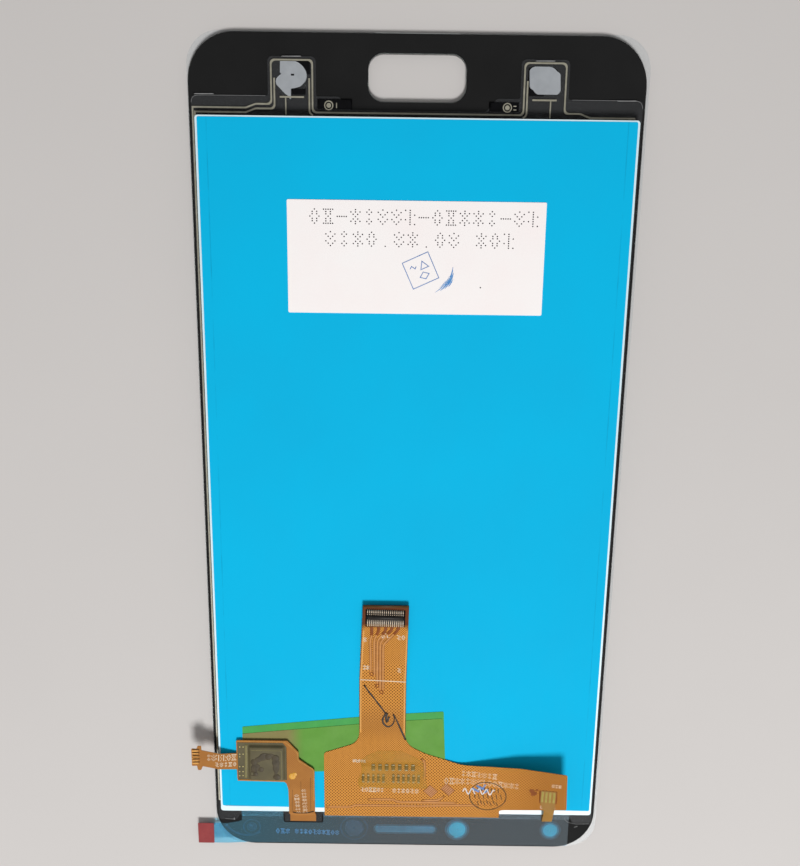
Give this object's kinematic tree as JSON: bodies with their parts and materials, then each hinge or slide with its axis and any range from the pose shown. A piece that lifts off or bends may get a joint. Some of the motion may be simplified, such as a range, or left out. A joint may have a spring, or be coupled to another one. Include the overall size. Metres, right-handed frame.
{
  "type": "phone lcd screen assembly",
  "caption": "Phone display module with cover glass, touch sensor, liquid crystal cell and backlight, lying on its front with its flex cables folded over the back.",
  "frame": {"origin": "centre of the cover glass outline, on the face that the part lies on", "axes": "+Y along the length towards the home key end, +X to the right as seen on the back, +Z away from the viewing side"},
  "size_m": [0.0779, 0.1484, 0.006],
  "materials": {
    "clear_film": "clear, smooth protective film",
    "glass": "polished clear glass",
    "black_ink": "screen-printed black ink, satin",
    "key_patch": "grey diffusing ink",
    "window_tint": "dark translucent ink",
    "clear_glue": "optically clear glue",
    "sensor_film": "clear film with a slight haze",
    "silver_ink": "printed silver paste, dull",
    "polariser": "dark polarising film",
    "cell_glass": "thin clear glass",
    "chip": "black epoxy or silicon",
    "black_tape": "thin black tape",
    "optical_film": "prismatic and diffusing film",
    "acrylic": "clear moulded plastic",
    "reflector": "bright reflecting film",
    "white_frame": "moulded white plastic",
    "blue_film": "sky-blue protective film, low gloss",
    "sticker": "white sticker with dotted print",
    "yellow_tape": "transparent yellow tape",
    "amber_flex": "amber polyimide over copper mesh",
    "dark_backing": "dark backing sheet",
    "plug_black": "moulded black housing",
    "gold": "gold-plated contacts",
    "solder": "tinned gold",
    "chip_parts": "ceramic chips with tinned ends",
    "cover_film": "transparent yellow film",
    "smoke_film": "translucent film over the chip",
    "light_blue_film": "transparent light blue film",
    "red_tab": "red tape",
    "lamp": "white lamp body with yellow phosphor"
  },
  "bodies": {
    "root": {"front_film": "clear_film", "cover_glass": "glass", "ink_border": "black_ink", "key_patch_left": "key_patch", "key_patch_right": "key_patch", "sensor_windows": "window_tint", "glass_adhesive": "clear_glue", "touch_sensor": "sensor_film", "touch_traces": "silver_ink", "display_adhesive": "clear_glue", "front_polariser": "polariser", "colour_filter_glass": "cell_glass", "array_glass": "cell_glass", "driver_ic": "chip", "rear_polariser": "polariser", "shading_tape": "black_tape", "prism_film_upper": "optical_film", "prism_film_lower": "optical_film", "diffuser_film": "optical_film", "light_guide": "acrylic", "leds": "lamp", "backlight_flex": "amber_flex", "reflector": "reflector", "backlight_frame": "white_frame", "back_film": "blue_film", "label": "sticker", "flex_tape_lower": "yellow_tape", "flex_tape_upper": "yellow_tape", "display_flex": "amber_flex", "flex_stiffener": "dark_backing", "board_connector": "plug_black", "connector_contacts": "gold", "flex_components": "chip_parts", "component_cover": "cover_film", "tail_solder": "solder", "touch_flex": "amber_flex", "touch_contacts": "gold", "touch_stiffener": "dark_backing", "touch_ic": "chip", "touch_ic_cover": "smoke_film", "bezel_film": "light_blue_film", "pull_tab": "red_tab"}
  },
  "joints": []
}
